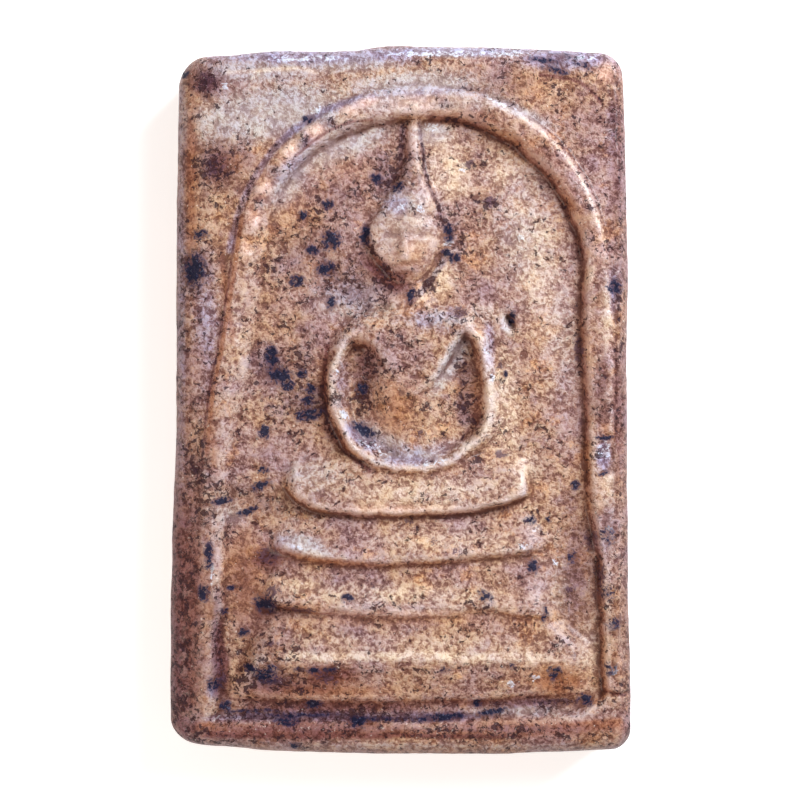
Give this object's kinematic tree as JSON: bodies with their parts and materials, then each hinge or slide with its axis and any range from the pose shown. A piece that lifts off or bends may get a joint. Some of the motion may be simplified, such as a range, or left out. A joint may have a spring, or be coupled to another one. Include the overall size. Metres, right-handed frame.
{
  "type": "pressed clay amulet tablet",
  "caption": "Small pressed clay amulet tablet with a seated figure on a stepped plinth under an arch, in worn raised relief; lies flat or is framed as a pendant.",
  "frame": {"origin": "middle of the flat back, which rests on the surface", "axes": "+Z out of the face, +Y up the seated figure, +X to the viewer's right"},
  "size_m": [0.0248, 0.038, 0.005],
  "materials": {
    "clay": "satin"
  },
  "bodies": {
    "root": {"tablet": "clay"}
  },
  "joints": []
}
